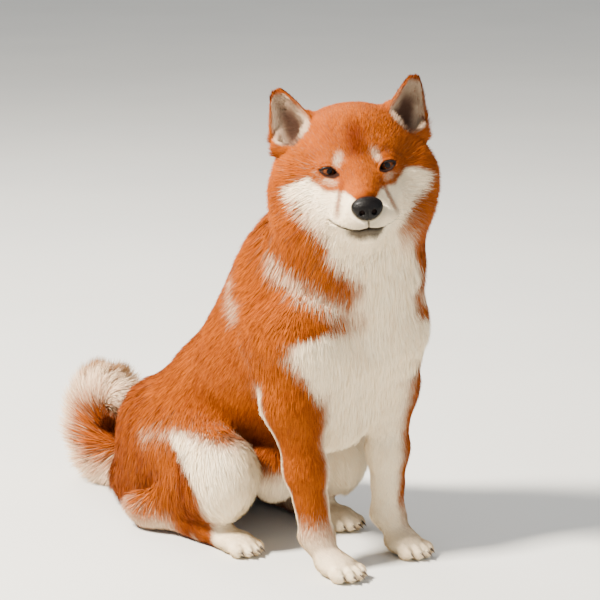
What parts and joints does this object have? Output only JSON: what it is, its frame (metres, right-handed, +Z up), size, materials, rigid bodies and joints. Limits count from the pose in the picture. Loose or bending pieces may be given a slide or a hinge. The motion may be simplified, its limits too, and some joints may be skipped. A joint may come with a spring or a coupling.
{
  "type": "sitting dog",
  "caption": "Sitting spitz-type dog with pricked ears, a thick red and cream coat and a curled tail, head turned to one side.",
  "frame": {"origin": "on the floor, in the middle of the flat that the rump sits on", "axes": "+Z up, the dog's body faces -Y, and its own left side is +X"},
  "size_m": [0.238, 0.5689, 0.5208],
  "materials": {
    "coat_orange": "dense red-orange fur",
    "coat_cream": "dense cream to white fur",
    "nose_skin": "moist pebbled near-black skin",
    "eye": "wet glossy dark brown eye",
    "claw": "satin dark horn"
  },
  "bodies": {
    "root": {"thigh_left": "coat_orange", "upper_arm_left": "coat_orange", "thigh_right": "coat_orange", "upper_arm_right": "coat_orange", "neck": "coat_orange", "rump": "coat_orange", "belly": "coat_orange", "chest": "coat_cream", "forearm_left": "coat_orange", "claw_fore_left_1": "claw", "claw_fore_left_2": "claw", "claw_fore_left_3": "claw", "claw_fore_left_4": "claw", "paw_fore_left": "coat_cream", "shank_left": "coat_orange", "hock_left": "coat_orange", "claw_hind_left_1": "claw", "claw_hind_left_2": "claw", "claw_hind_left_3": "claw", "claw_hind_left_4": "claw", "paw_hind_left": "coat_cream", "forearm_right": "coat_orange", "claw_fore_right_1": "claw", "claw_fore_right_2": "claw", "claw_fore_right_3": "claw", "claw_fore_right_4": "claw", "paw_fore_right": "coat_cream", "shank_right": "coat_orange", "hock_right": "coat_orange", "claw_hind_right_1": "claw", "claw_hind_right_2": "claw", "claw_hind_right_3": "claw", "claw_hind_right_4": "claw", "paw_hind_right": "coat_cream", "tail_tip": "coat_orange", "tail_middle": "coat_orange", "tail_root": "coat_orange", "lower_jaw": "coat_cream", "muzzle": "coat_cream", "nose": "nose_skin", "ear_left": "coat_orange", "eye_left": "eye", "ear_right": "coat_orange", "eye_right": "eye", "head": "coat_orange"}
  },
  "joints": []
}
